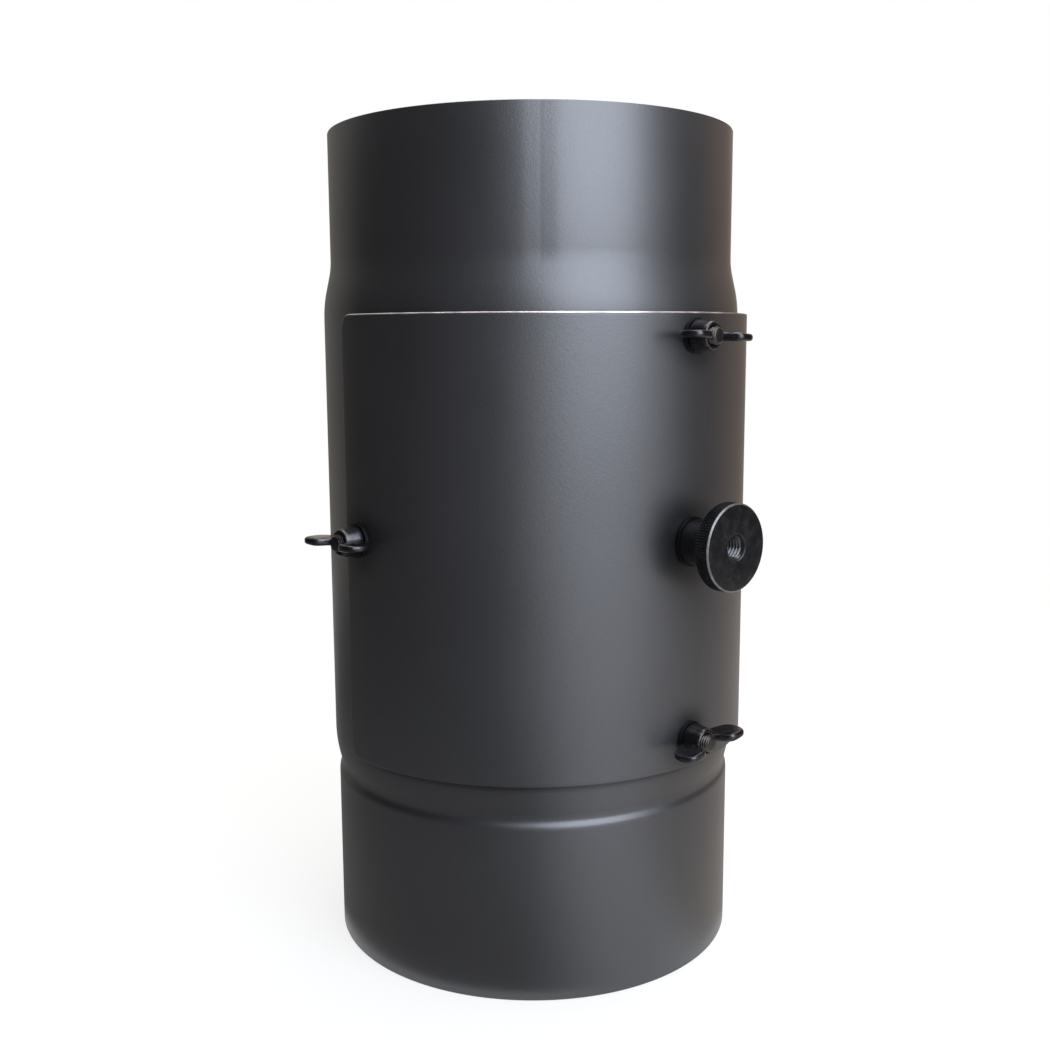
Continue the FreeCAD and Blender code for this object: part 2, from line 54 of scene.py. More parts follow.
# Surfaces
def meshPiece(name, sheets, material, sharpAngle=35, outward=True):
    # One mesh from several point grids. Each sheet is (points[rows, columns, 3], closed along rows,
    # closed along columns): neighbours in a grid are joined by four-sided faces, and points that
    # fall together are welded.
    points, faces, start = [], [], 0
    for grid, closeRows, closeColumns in sheets:
        rows, columns = grid.shape[:2]
        number = np.arange(rows * columns).reshape(rows, columns) + start
        if closeRows:
            number = np.vstack([number, number[:1]])
        if closeColumns:
            number = np.hstack([number, number[:, :1]])
        quads = [number[:-1, :-1], number[:-1, 1:], number[1:, 1:], number[1:, :-1]]
        faces.append(np.stack(quads, axis=-1).reshape(-1, 4))
        points.append(grid.reshape(-1, 3))
        start += rows * columns
    points, faces = np.vstack(points), np.vstack(faces)
    mesh = bpy.data.meshes.new(name)
    mesh.vertices.add(len(points))
    mesh.vertices.foreach_set("co", points.astype(np.float32).ravel())
    mesh.loops.add(faces.size)
    mesh.loops.foreach_set("vertex_index", faces.astype(np.int32).ravel())
    mesh.polygons.add(len(faces))
    mesh.polygons.foreach_set("loop_start", np.arange(0, faces.size, 4, dtype=np.int32))
    mesh.update(calc_edges=True)
    mesh.validate()
    shape = bmesh.new()
    shape.from_mesh(mesh)
    bmesh.ops.remove_doubles(shape, verts=shape.verts, dist=2e-7)
    bmesh.ops.dissolve_degenerate(shape, edges=shape.edges, dist=1e-7)
    if outward:
        bmesh.ops.recalc_face_normals(shape, faces=shape.faces)
    shape.to_mesh(mesh)
    shape.free()
    mesh.shade_smooth()
    mesh.set_sharp_from_angle(angle=rad(sharpAngle))
    mesh.materials.append(material)
    piece = bpy.data.objects.new(name, mesh)
    bpy.context.scene.collection.objects.link(piece)
    return piece


def setShare(piece, name, rule):
    # A value at every vertex, which the rule works out from the vertices' places
    places = np.empty(len(piece.data.vertices) * 3, np.float32)
    piece.data.vertices.foreach_get("co", places)
    values = piece.data.attributes.new(name, "FLOAT", "POINT")
    values.data.foreach_set("value", rule(places.reshape(-1, 3)).astype(np.float32))


def eased(value):
    # 0 below 0, 1 above 1 and a smooth run between them
    value = np.clip(value, 0, 1)
    return value * value * (3 - 2 * value)


def roundedProfile(corners, steps=5):
    # A line through (radius, height, rounding) corners, in metres. Each corner is replaced by a
    # parabola that touches both of its sides at the rounding distance.
    line = []
    for index, (r, z, rounding) in enumerate(corners):
        here = np.array([r, z], float)
        if rounding == 0 or index in (0, len(corners) - 1):
            line.append(here)
            continue
        before = np.array(corners[index - 1][:2], float) - here
        after = np.array(corners[index + 1][:2], float) - here
        before *= rounding / np.linalg.norm(before)
        after *= rounding / np.linalg.norm(after)
        t = np.linspace(0, 1, steps)[:, None]
        line.extend(here + before * (1 - t) ** 2 + after * t**2)
    return np.array(line) * mm


def aroundZ(profile, azimuths):
    # Each (radius, height) of the profile at each azimuth: x = r sin a, y = -r cos a, z = height.
    r, z = profile[:, 0, None], profile[:, 1, None]
    a = np.asarray(azimuths)[None, :]
    return np.stack([r * np.sin(a), -r * np.cos(a), z + 0 * a], axis=-1)


def faceOutwards(points, azimuth, height, turn=0):
    # Points drawn with z pointing out of the pipe are turned about it, then laid out at an azimuth.
    a, t = rad(azimuth), rad(turn)
    x = points[..., 0] * math.cos(t) - points[..., 1] * math.sin(t)
    y = points[..., 0] * math.sin(t) + points[..., 1] * math.cos(t)
    z = points[..., 2]
    placed = [math.cos(a) * x + math.sin(a) * z, math.sin(a) * x - math.cos(a) * z, height * mm + y]
    return np.stack(placed, axis=-1)


def turnedGrid(profile, count=72):
    # A profile of (radius, height) turned about z
    a = np.linspace(0, 2 * math.pi, count, endpoint=False)[None, :]
    r, z = profile[:, 0, None], profile[:, 1, None]
    return np.stack([r * np.cos(a), r * np.sin(a), z + 0 * a], axis=-1)


# Materials
def newMaterial(name):
    material = bpy.data.materials.new(name)
    material.use_nodes = True
    nodes, links = material.node_tree.nodes, material.node_tree.links
    shader = nodes["Principled BSDF"]
    place = nodes.new("ShaderNodeTexCoord").outputs["Object"]
    return material, nodes, links, shader, place


def noiseAt(nodes, links, place, scale, detail=3, roughness=0.5, stretch=None):
    # Noise over the object's own coordinates, drawn out where stretch shrinks an axis
    if stretch:
        mapping = nodes.new("ShaderNodeMapping")
        mapping.inputs["Scale"].default_value = stretch
        links.new(place, mapping.inputs["Vector"])
        place = mapping.outputs["Vector"]
    noise = nodes.new("ShaderNodeTexNoise")
    noise.inputs["Scale"].default_value = scale
    noise.inputs["Detail"].default_value = detail
    noise.inputs["Roughness"].default_value = roughness
    links.new(place, noise.inputs["Vector"])
    return noise.outputs["Fac"]


def spread(nodes, links, value, low, high, fromLow=0.3, fromHigh=0.7):
    # A value from one range to another
    node = nodes.new("ShaderNodeMapRange")
    for socket, amount in (("From Min", fromLow), ("From Max", fromHigh), ("To Min", low), ("To Max", high)):
        node.inputs[socket].default_value = amount
    links.new(value, node.inputs["Value"])
    return node.outputs["Result"]


def blendColours(nodes, links, factor, first, second):
    # Each colour is three numbers or the output of another node
    mix = nodes.new("ShaderNodeMix")
    mix.data_type = "RGBA"
    links.new(factor, mix.inputs["Factor"])
    for socket, colour in ((6, first), (7, second)):
        if isinstance(colour, tuple):
            mix.inputs[socket].default_value = (*colour, 1)
        else:
            links.new(colour, mix.inputs[socket])
    return mix.outputs[2]


def bumpFrom(nodes, links, height, distance, under=None):
    # Height in metres, on top of another bump where one is given
    bump = nodes.new("ShaderNodeBump")
    bump.inputs["Distance"].default_value = distance
    links.new(height, bump.inputs["Height"])
    if under:
        links.new(under, bump.inputs["Normal"])
    return bump.outputs["Normal"]


def shareOf(nodes, name):
    # A value that a piece carries at its vertices, 0 where it has none
    node = nodes.new("ShaderNodeAttribute")
    node.attribute_name = name
    return node.outputs["Fac"]


def brokenUp(nodes, links, share, noise):
    # A share that only holds where the noise is high, as a finish wears through in places
    node = nodes.new("ShaderNodeMath")
    node.operation = "MULTIPLY"
    links.new(share, node.inputs[0])
    links.new(noise, node.inputs[1])
    return node.outputs[0]


def paintedSteel():
    # Dark grey heat-proof paint: a fine metallic speckle, a faint orange peel and slow changes of tone. It is
    # rubbed through to bright sheet where a piece is worn, which also paints a highlight, and darkened by
    # painted shade where other parts shade it.
    look = {
        "dark": (0.082, 0.083, 0.090),
        "light": (0.100, 0.101, 0.109),
        # bare sheet where the paint is rubbed through, which also serves as a painted highlight
        "wearAndHighlight": (0.78, 0.70, 0.70),
        # painted shade: the shadow under the hatch's edge and round the fixings
        "sootAndPaintedShade": (0.036, 0.036, 0.039),
        "metallic": 0.9,
        "roughness": (0.36, 0.41),
        "slowScale": 16,
        "flakeScale": 1800,
        "flakeShare": 0.6,
        "flakeHeight": 0.000015,
        "peelScale": 900,
        "peelHeight": 0.000018,
        "patchScale": 180,  # of the patches in which the paint is worn through and the painted highlight shows
    }
    material, nodes, links, shader, place = newMaterial("heatProofPaint")
    slow = noiseAt(nodes, links, place, look["slowScale"], 4)
    flake = noiseAt(nodes, links, place, look["flakeScale"], 1)
    colour = blendColours(nodes, links, spread(nodes, links, slow, 0.3, 0.7), look["dark"], look["light"])
    speckle = spread(nodes, links, flake, 0.0, look["flakeShare"])
    flaked = blendColours(nodes, links, speckle, colour, look["light"])
    patchy = spread(nodes, links, noiseAt(nodes, links, place, look["patchScale"], 3), 0.35, 1)
    # rubbed-through paint, which also serves as a painted highlight
    wearAndHighlightShare = brokenUp(nodes, links, shareOf(nodes, "wearAndHighlight"), patchy)
    # painted shade wherever the piece carries its share
    sootAndShadeBlend = blendColours(nodes, links, shareOf(nodes, "sootAndPaintedShade"), flaked, look["sootAndPaintedShade"])
    links.new(blendColours(nodes, links, wearAndHighlightShare, sootAndShadeBlend, look["wearAndHighlight"]), shader.inputs["Base Color"])
    links.new(spread(nodes, links, slow, *look["roughness"]), shader.inputs["Roughness"])
    shader.inputs["Metallic"].default_value = look["metallic"]
    peel = noiseAt(nodes, links, place, look["peelScale"], 2)
    grain = bumpFrom(nodes, links, flake, look["flakeHeight"])
    links.new(bumpFrom(nodes, links, peel, look["peelHeight"], grain), shader.inputs["Normal"])
    return material


def blackSteel(name, dark, rubbed, roughness, metallic):
    # Black finish, semi-gloss, with a cast grain, paler rubbed patches and bright worn edges that are also a
    # painted highlight
    look = {
        # bright rubbed edge colour, which also serves as a painted highlight
        "wearAndHighlight": (0.16, 0.156, 0.16),
        "patchScale": 260,
        "patchFrom": (0.45, 0.8),  # the noise in a rubbed patch, from its edge to its middle
        "grainScale": 2400,
        "grainHeight": 0.00002,
    }
    material, nodes, links, shader, place = newMaterial(name)
    patches = noiseAt(nodes, links, place, look["patchScale"], 4, 0.6)
    grain = noiseAt(nodes, links, place, look["grainScale"], 3)
    patched = spread(nodes, links, patches, 0, 1, *look["patchFrom"])
    colour = blendColours(nodes, links, patched, dark, rubbed)
    # rubbed edges that also serve as a painted highlight, where a piece carries the share
    wearAndHighlightShare = brokenUp(nodes, links, shareOf(nodes, "wearAndHighlight"), spread(nodes, links, patches, 0.5, 1))
    links.new(blendColours(nodes, links, wearAndHighlightShare, colour, look["wearAndHighlight"]), shader.inputs["Base Color"])
    links.new(spread(nodes, links, patches, *roughness), shader.inputs["Roughness"])
    shader.inputs["Metallic"].default_value = metallic
    links.new(bumpFrom(nodes, links, grain, look["grainHeight"]), shader.inputs["Normal"])
    return material


def plainSteel(name, dull, bright, roughness, grainStretch=None):
    # Machined or rolled steel: fine grain, and dull stains in a brighter metal
    look = {"stainScale": 120, "grainScale": 1800, "grainHeight": 0.00001, "metallic": 0.9}
    material, nodes, links, shader, place = newMaterial(name)
    stain = noiseAt(nodes, links, place, look["stainScale"], 5, 0.6)
    grain = noiseAt(nodes, links, place, look["grainScale"], 2, 0.5, grainStretch)
    colour = blendColours(nodes, links, spread(nodes, links, stain, 0, 1), dull, bright)
    links.new(colour, shader.inputs["Base Color"])
    links.new(spread(nodes, links, grain, *roughness), shader.inputs["Roughness"])
    shader.inputs["Metallic"].default_value = look["metallic"]
    links.new(bumpFrom(nodes, links, grain, look["grainHeight"]), shader.inputs["Normal"])
    return material


def mineralFibre():
    # Pale pressed mineral fibre: short crossed threads in two directions
    look = {
        "dark": (0.42, 0.40, 0.37),
        "light": (0.70, 0.68, 0.64),
        "roughness": (0.85, 0.98),
        "threadScale": 1500,
        "along": (1, 1, 0.15),  # how the two sets of threads are drawn out
        "across": (0.2, 0.2, 1),
        "threadHeight": 0.0002,
    }
    material, nodes, links, shader, place = newMaterial("mineralFibre")
    along = noiseAt(nodes, links, place, look["threadScale"], 3, 0.6, look["along"])
    across = noiseAt(nodes, links, place, look["threadScale"], 3, 0.6, look["across"])
    mix = nodes.new("ShaderNodeMath")
    mix.operation = "MAXIMUM"
    links.new(along, mix.inputs[0])
    links.new(across, mix.inputs[1])
    crossed = spread(nodes, links, mix.outputs[0], 0, 1)
    colour = blendColours(nodes, links, crossed, look["dark"], look["light"])
    links.new(colour, shader.inputs["Base Color"])
    links.new(spread(nodes, links, along, *look["roughness"]), shader.inputs["Roughness"])
    links.new(bumpFrom(nodes, links, mix.outputs[0], look["threadHeight"]), shader.inputs["Normal"])
    return material


def honeycombCeramic():
    # Unglazed ceramic: warm and pale, finely pitted, greyer where soot has settled
    look = {
        "pit": (0.60, 0.54, 0.44),
        "clay": (0.80, 0.76, 0.68),
        "sootAndPaintedShade": (0.22, 0.21, 0.2),
        "sootMost": 0.45,
        "sootScale": 45,
        "roughness": (0.8, 0.95),
        "pitScale": 2600,
        "pitHeight": 0.0001,
    }
    material, nodes, links, shader, place = newMaterial("honeycombCeramic")
    sootAndPaintedShade = noiseAt(nodes, links, place, look["sootScale"], 5, 0.6)
    pits = noiseAt(nodes, links, place, look["pitScale"], 3, 0.7)
    pitted = spread(nodes, links, pits, 0, 1)
    clay = blendColours(nodes, links, pitted, look["pit"], look["clay"])
    sootAndShadeBlend = spread(nodes, links, sootAndPaintedShade, 0, look["sootMost"], 0.5, 0.8)
    colour = blendColours(nodes, links, sootAndShadeBlend, clay, look["sootAndPaintedShade"])
    links.new(colour, shader.inputs["Base Color"])
    links.new(spread(nodes, links, pits, *look["roughness"]), shader.inputs["Roughness"])
    links.new(bumpFrom(nodes, links, pits, look["pitHeight"]), shader.inputs["Normal"])
    return material


# dark and light colour, and the range of roughness; for rolled sheet also how its grain is drawn out
finishes = {
    "painted_pipe": paintedSteel(),
    "black_steel": blackSteel("blackOxide", (0.012, 0.012, 0.014), (0.028, 0.028, 0.031), (0.2, 0.3), 0.55),
    "dark_steel": plainSteel("studSteel", (0.020, 0.019, 0.019), (0.070, 0.067, 0.066), (0.24, 0.38)),
    "bare_steel": plainSteel("turnedSteel", (0.34, 0.33, 0.32), (0.58, 0.57, 0.56), (0.22, 0.36)),
    "stainless_sheet": plainSteel(
        "stainlessSheet", (0.30, 0.29, 0.28), (0.46, 0.45, 0.43), (0.36, 0.5), (1, 1, 0.1)
    ),
    "gasket_fibre": mineralFibre(),
    "honeycomb_ceramic": honeycombCeramic(),
}
for part in frame["record"]["subparts"]:
    node = frame["nodes"][part["node"]]
    node.data.materials.clear()
    node.data.materials.append(finishes[part["material_slot"]])
# the bush and the washer behind the knob are blackened like it
for name in ("hatch_bush", "friction_washer"):
    frame["nodes"][name].data.materials[0] = finishes["black_steel"]
print("materials are on the solids")


# Pipe: one rolled sheet, widened in the middle, with the cleaning window cut in it
pipe = {
    "wall": 1.5,
    "tail": (74.7, 51.0),  # radius and lower end
    "middle": 77.9,
    "shoulder": (64.0, 80.5),
    "bodyTop": 241.4,
    "spigot": (75.0, 254.5),
    "top": 303.0,
    "rim": 0.45,  # rounding of the cut edges
    "bands": (90.0, 230.0),  # the window lies between these heights
    "window": (80.0, 97.6, 221.6, 12.0),  # half width in degrees, lower edge, upper edge, corner
    "windowSteps": [0, 0.4, 1, 2, 3, 4.5, 6, 8],  # degrees inside and outside its sides, for its corners
    "windowRows": (5, 6),  # points in a strip above or below it, and beside it
    "shoulderRows": 12,
    "seamAzimuth": -40.0,
    "seamFlat": 4.6,  # the sheet stays flat this far each side of its weld
    "seamBlend": 0.06,
    "seamGroove": (0.018, 0.8),  # depth and half width of the ground-off weld
    "seamFades": (249.0, 256.0),  # the flat grows from none to full between these heights
    "seamSteps": [(9, 0.35), (0.9, 0.1)],  # degrees each side of the weld, and degrees apart
    "sootAndPaintedShade": (75.4, 79.0, 82.0),  # painted shade under the hatch: from none to full between the first two heights, none above the third
    "paintedShadeReach": 97,
}


def azimuthSteps(extra):
    # Degrees, one apart all the way round, with the extra ones put in
    steps = np.concatenate([np.arange(-180, 180, 1.0), *extra])
    return np.unique(np.round(steps, 4))


def seamShift(radius, height, azimuth):
    # What the weld takes from the radius: near it the round sheet runs into a flat chord, blended by
    # a smooth minimum, with a faint bell-shaped groove along the middle of the chord.
    s = np.radians(azimuth - pipe["seamAzimuth"]) * radius
    close = np.abs(s) < 3 * pipe["seamFlat"]
    angle = np.where(close, s / radius, 0)
    chord = radius * math.cos(pipe["seamFlat"] / pipe["spigot"][0]) / np.cos(angle)
    blend = pipe["seamBlend"]
    lower = -blend * np.logaddexp(-(chord - radius) / blend, 0)
    groove = pipe["seamGroove"][0] * np.exp(-((s / pipe["seamGroove"][1]) ** 2))
    low, high = pipe["seamFades"]
    return np.where(close, lower - groove, 0) * eased((height - low) / (high - low))


def pipeGrid(profile, azimuths):
    # A profile in millimetres turned round the pipe, with the weld's flat and groove in it
    r, z = profile[:, 0, None], profile[:, 1, None]
    a = np.asarray(azimuths)[None, :]
    r = r + seamShift(r, z, a)
    turn = np.radians(a)
    return np.stack([r * np.sin(turn), -r * np.cos(turn), z + 0 * a], axis=-1) * mm


def windowHalf(azimuth):
    # Half the window's height at an azimuth: less in its rounded corners
    halfAngle, low, high, corner = pipe["window"]
    inward = np.radians(halfAngle - np.abs(azimuth)) * pipe["middle"]
    cut = np.clip(corner - inward, 0, corner)
    return (high - low) / 2 - (corner - np.sqrt(corner**2 - cut**2))


def skinAt(radius, z, azimuth):
    # Heights z at each azimuth on a round skin: x = r sin a, y = -r cos a
    turn = np.radians(azimuth)[None, :] + 0 * z
    return np.stack([radius * np.sin(turn), -radius * np.cos(turn), z], axis=-1) * mm


def pipeShell():
    wall, rim, wide, top = pipe["wall"], pipe["rim"], pipe["middle"], pipe["top"]
    tailRadius, tailEnd = pipe["tail"]
    low, high = pipe["shoulder"]
    bend = ((high - low) ** 2 / (wide - tailRadius) + wide - tailRadius) / 2
    z = np.linspace(low, high, pipe["shoulderRows"])
    # the shoulder: an arc that runs smoothly into the wide middle
    arc = np.stack([wide - bend + np.sqrt(bend**2 - (high - z) ** 2), z], axis=1)
    lowerBand, upperBand = pipe["bands"]
    seam = [pipe["seamAzimuth"] + np.arange(-far, far + step / 2, step) for far, step in pipe["seamSteps"]]
    halfAngle, windowLow, windowHigh, _ = pipe["window"]
    edge = np.array(pipe["windowSteps"])
    azimuths = azimuthSteps([*seam, halfAngle - edge, edge - halfAngle])
    foot = [(tailRadius - wall / 2, tailEnd), (tailRadius - rim, tailEnd), (tailRadius, tailEnd + rim)]
    outside = np.vstack([foot, arc, [(wide, lowerBand)]])
    innerFoot = [foot[0], (tailRadius - wall, tailEnd + rim)]
    inside = np.vstack([innerFoot, arc - [wall, 0], [(wide - wall, lowerBand)]])
    bottom = np.vstack([inside[::-1], outside[1:]])
    spigotRadius, spigotFoot = pipe["spigot"]
    upper = [
        (wide, upperBand, 0), (wide, pipe["bodyTop"], 5.0),
        (spigotRadius, spigotFoot, 3.2), (spigotRadius, top, 0),
    ]
    skin = roundedProfile(upper, 9) / mm
    roundedRim = [
        (spigotRadius, top - rim), (spigotRadius - rim * rimShare, top - rim * rimShare),
        (spigotRadius - rim, top), (spigotRadius - wall + rim / 2, top), (spigotRadius - wall, top - rim / 2),
    ]
    upperPart = np.vstack([skin[:-1], roundedRim, skin[-2::-1] - [wall, 0]])
    sheets = [(pipeGrid(part, azimuths), False, True) for part in (bottom, upperPart)]
    # the band with the window: whole behind it, and a strip above and below it
    middle = (windowLow + windowHigh) / 2
    side = windowHalf(np.array([halfAngle]))[0]
    count, beside = pipe["windowRows"]
    strip = np.linspace(0, 1, count)[:, None]
    behind = np.concatenate([azimuths[azimuths >= halfAngle], azimuths[azimuths <= -halfAngle] + 360])
    front = azimuths[np.abs(azimuths) <= halfAngle]
    heights = np.concatenate([
        np.linspace(lowerBand, middle - side, count),
        np.linspace(middle - side, middle + side, beside)[1:-1],
        np.linspace(middle + side, upperBand, count),
    ])
    half = windowHalf(front)[None, :]
    lowerStrip = lowerBand + strip * (middle - half - lowerBand)
    upperStrip = middle + half + strip * (upperBand - middle - half)
    skins = []
    for radius in (wide, wide - wall):
        skins.append([
            skinAt(radius, heights[:, None] + 0 * behind[None, :], behind),
            skinAt(radius, lowerStrip, front), skinAt(radius, upperStrip, front),
        ])
    for grids in skins:
        sheets += [(grid, False, False) for grid in grids]
    # the cut edge of the window, between the outer and the inner skin
    outer, inner = skins
    rows = slice(count - 1, len(heights) - count + 1)
    cuts = [(1, -1), (2, 0), (0, (rows, 0)), (0, (rows, -1))]
    for grid, line in cuts:
        sheets.append((np.stack([outer[grid][line], inner[grid][line]]), False, False))
    return meshPiece("pipeShell", sheets, finishes["painted_pipe"])


shell = pipeShell()
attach(shell, "housing")
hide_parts("main_pipe")


def paintedShadeUnderHatch(places):
    # Painted shade in the corner under the hatch's lower edge, where its shadow falls
    low, high, end = pipe["sootAndPaintedShade"]
    azimuth = np.degrees(np.arctan2(places[:, 0], -places[:, 1]))
    z = places[:, 2] / mm
    return eased((z - low) / (high - low)) * (z < end) * (np.abs(azimuth) < pipe["paintedShadeReach"])


# painted shade under the hatch's lower edge
setShare(shell, "sootAndPaintedShade", paintedShadeUnderHatch)
print("pipe shell is made")


# Collar: a socket pipe whose top edge is rolled in and sealed to the pipe's shoulder with paint
collar = {
    "outer": 76.8,
    "socket": 75.3,
    "seat": 74.7,
    "step": (50.0, 51.0),
    "rim": 0.4,
    # radius and height, from the straight outside over the rolled edge and the fillet of paint
    "lip": [
        (76.8, 61.6), (76.77, 62.4), (76.69, 63.1), (76.53, 63.65), (76.31, 64.05), (76.09, 64.4),
        (75.91, 64.85), (75.81, 65.4), (75.79, 66.0), (75.84, 66.6), (75.92, 67.2), (76.03, 67.75),
    ],
    "inside": [(75.6, 67.4), (74.7, 64.0)],
    "turnStep": 0.75,  # degrees from one column of points to the next
}


def socketCollar():
    rim, outer, socket = collar["rim"], collar["outer"], collar["socket"]
    stepLow, stepHigh = collar["step"]
    foot = [(socket + rim, 0), (outer - rim, 0), (outer - rim * rimShare, rim * rimShare), (outer, rim)]
    inside = [
        *collar["inside"], (collar["seat"], stepHigh), (socket, stepLow), (socket, rim),
        (socket + rim * rimShare, rim * rimShare),
    ]
    profile = np.vstack([foot, collar["lip"], inside]) * mm
    grid = aroundZ(profile, np.radians(np.arange(0, 360, collar["turnStep"])))
    return meshPiece("socketCollar", [(grid, True, True)], finishes["painted_pipe"])


lowerCollar = socketCollar()
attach(lowerCollar, "housing")
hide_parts("lower_collar")


# Hatch: a curved sheet with rounded corners and edges, and an open slot for each side stud
hatch = {
    "outer": 81.4,
    "sheet": 1.5,
    "low": 79.3,
    "high": 237.3,
    "halfAngle": 96.0,
    "corner": 5.0,
    "edge": 0.6,  # rounding of the outer edge
    "slot": 3.6,  # half the width of the side studs' slots
    # columns and rows of points: distance apart, rows from the middle to the edge, points across an
    # edge's rounding, further distances from the edge, and distances from a stud's middle
    "apart": 1.5,
    "rows": 60,
    "edgeSteps": 7,
    "nearSteps": [1.6, 2.4, 3.4, 5.0],
    "slotSteps": [-3.6, -3.5, -3.2, -2.6, -1.8, -0.9, 0, 1.2],
    "wearAndHighlight": (236.7, 236.95),  # the paint is rubbed off the upper edge between these heights and above, which also paints a highlight there
    "wearAndHighlightRadius": (80.5, 80.75),
    "wearAndHighlightAzimuth": (4, 20),  # the wear and the painted highlight get less between these
    "wearAndHighlightLoss": 0.8,  # by this share
    "paintedShadowFrom": (6, 9.5),  # painted shadow starts this far from the middle of a wing nut and of the knob
    "paintedShadowRound": 9.0,  # and ends this much further out
    "paintedShadowShare": 0.5,
}


def hatchSheet():
    outer, corner, edge, slot = hatch["outer"], hatch["corner"], hatch["edge"], hatch["slot"]
    reach = math.radians(hatch["halfAngle"]) * outer  # half the sheet's width along its curve
    stud = math.radians(90) * outer
    # distances from an edge, close together where it is rounded
    rounding = edge * (1 - np.cos(np.linspace(0, math.pi / 2, hatch["edgeSteps"])))
    near = np.concatenate([rounding, hatch["nearSteps"]])
    plain = np.arange(0, stud - slot, hatch["apart"])
    half = np.unique(np.round(np.concatenate([plain, stud + np.array(hatch["slotSteps"]), reach - near]), 4))
    s = np.concatenate([-half[:0:-1], half])[None, :]
    fromSide = reach - np.abs(s)
    cut = np.clip(corner - fromSide, 0, corner)
    cornerDrop = corner - np.sqrt(corner**2 - cut**2)
    along = np.abs(s) - stud
    opening = np.where(along >= 0, slot, np.sqrt(np.clip(slot**2 - along**2, 0, None)))
    sheets = []
    for sign, limit in ((1, hatch["high"]), (-1, hatch["low"])):
        end = abs(limit - axleHeight) - cornerDrop
        inner = opening + np.linspace(0, 1, hatch["rows"])[:, None] * (end - near[-1] - opening)
        h = np.vstack([inner, end - near[-2::-1, None]])
        # depth below the outer face: a quarter circle wherever the sheet's outline is near
        fromEnd = abs(limit - axleHeight) - h
        inCorner = (fromSide < corner) & (fromEnd < corner)
        fromCorner = corner - np.hypot(corner - fromSide, corner - fromEnd)
        fromOutline = np.where(inCorner, fromCorner, np.minimum(fromSide, fromEnd))
        within = np.clip(edge - np.clip(fromOutline, 0, None), 0, edge)
        fall = edge - np.sqrt(edge**2 - within**2)
        a, z = s / outer + 0 * h, axleHeight + sign * h
        faces = []
        for radius in (outer - fall, outer - hatch["sheet"] + 0 * h):
            faces.append(np.stack([radius * np.sin(a), -radius * np.cos(a), z], axis=-1) * mm)
        sheets += [(face, False, False) for face in faces]
        # the cut edges: along the end, down both sides and round both slots
        atSlot = np.abs(s[0]) >= stud - slot - 1e-6
        cuts = [-1, (slice(None), 0), (slice(None), -1), (0, atSlot & (s[0] < 0)), (0, atSlot & (s[0] > 0))]
        for line in cuts:
            sheets.append((np.stack([faces[0][line], faces[1][line]]), False, False))
    return meshPiece("hatchSheet", sheets, finishes["painted_pipe"])


cover = hatchSheet()
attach(cover, "housing")
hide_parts("hatch_cover")


def hatchEdgeWearAndHighlight(places):
    # Rubbed paint, also a painted highlight, along the upper edge, on its outer corner, mostly on the left
    low, high = hatch["wearAndHighlight"]
    inner, outer = hatch["wearAndHighlightRadius"]
    full, less = hatch["wearAndHighlightAzimuth"]
    radius = np.hypot(places[:, 0], places[:, 1]) / mm
    azimuth = np.degrees(np.arctan2(places[:, 0], -places[:, 1]))
    edge = eased((places[:, 2] / mm - low) / (high - low)) * eased((radius - inner) / (outer - inner))
    return edge * (1 - hatch["wearAndHighlightLoss"] * eased((azimuth - full) / (less - full)))


def paintedShadowAroundFixings(places):
    # Painted shadow round the fixings: it thins out over a set distance from each wing nut's washer and from
    # the knob's bush
    azimuth, z = np.arctan2(places[:, 0], -places[:, 1]), places[:, 2] / mm
    nutRadius, knobRadius = hatch["paintedShadowFrom"]
    spots = [(place, height, nutRadius) for place, height, _ in nutPlaces.values()]
    share = 0 * z
    for place, height, radius in [*spots, (0, axleHeight, knobRadius)]:
        away = np.hypot((azimuth - rad(place)) * hatch["outer"], z - height) - radius
        share = np.maximum(share, 1 - eased(away / hatch["paintedShadowRound"]))
    return share * hatch["paintedShadowShare"]


# rubbed upper edge that also serves as a painted highlight
setShare(cover, "wearAndHighlight", hatchEdgeWearAndHighlight)
# painted shadow round the wing nuts and the knob
setShare(cover, "sootAndPaintedShade", paintedShadowAroundFixings)
print("collar and hatch are made")


# Studs and wing nuts; the washers under the nuts stay as the model has them
fixing = {
    "studRadius": 3.0,
    "studEnds": (77.6, 91.8),
    "studChamfer": 0.75,
    "thread": (0.42, 1.0),  # depth and pitch
    "nutFoot": 82.8,
    # hub of the nut: radius and height over its foot, once round its section
    "hub": [
        (3.1, 0.0), (5.1, 0.0), (5.5, 0.3), (5.6, 0.8), (5.45, 1.7),
        (4.9, 5.4), (4.6, 6.45), (4.3, 6.8), (3.5, 6.8), (3.1, 6.4),
    ],
    # one wing: distance from the nut's axis and height over its foot, once round its outline
    "wing": [
        (3.6, 0.7), (6.8, 1.2), (10.0, 1.9), (13.0, 2.9), (14.8, 4.4), (15.6, 6.6), (15.6, 8.8), (14.9, 10.9),
        (13.5, 12.3), (11.8, 12.6), (9.4, 12.6), (7.4, 12.3), (6.0, 10.4), (5.0, 7.6), (3.6, 5.8),
    ],
    "wingHeart": (9.8, 7.2),
    "wingSheet": (2.9, 2.3),  # thickness at the hub and at the tip
    "wingTaper": (4, 15),  # it thins between these distances from the axis
    "wingEdge": 0.95,  # rounding
    "wingEdgeRows": 6,
}
threadRows = 8  # rows of points to one turn of a thread


def threadWave(z, a, pitch):
    # How deep a screw thread is at a height and an angle: a zigzag from 0 on its crests to 1 in its
    # roots, made steeper and cut off at both so that they are flattened a little
    zigzag = np.abs(((z / pitch - a / (2 * math.pi)) % 1) * 2 - 1)
    return np.clip(zigzag * 1.3 - 0.15, 0, 1)


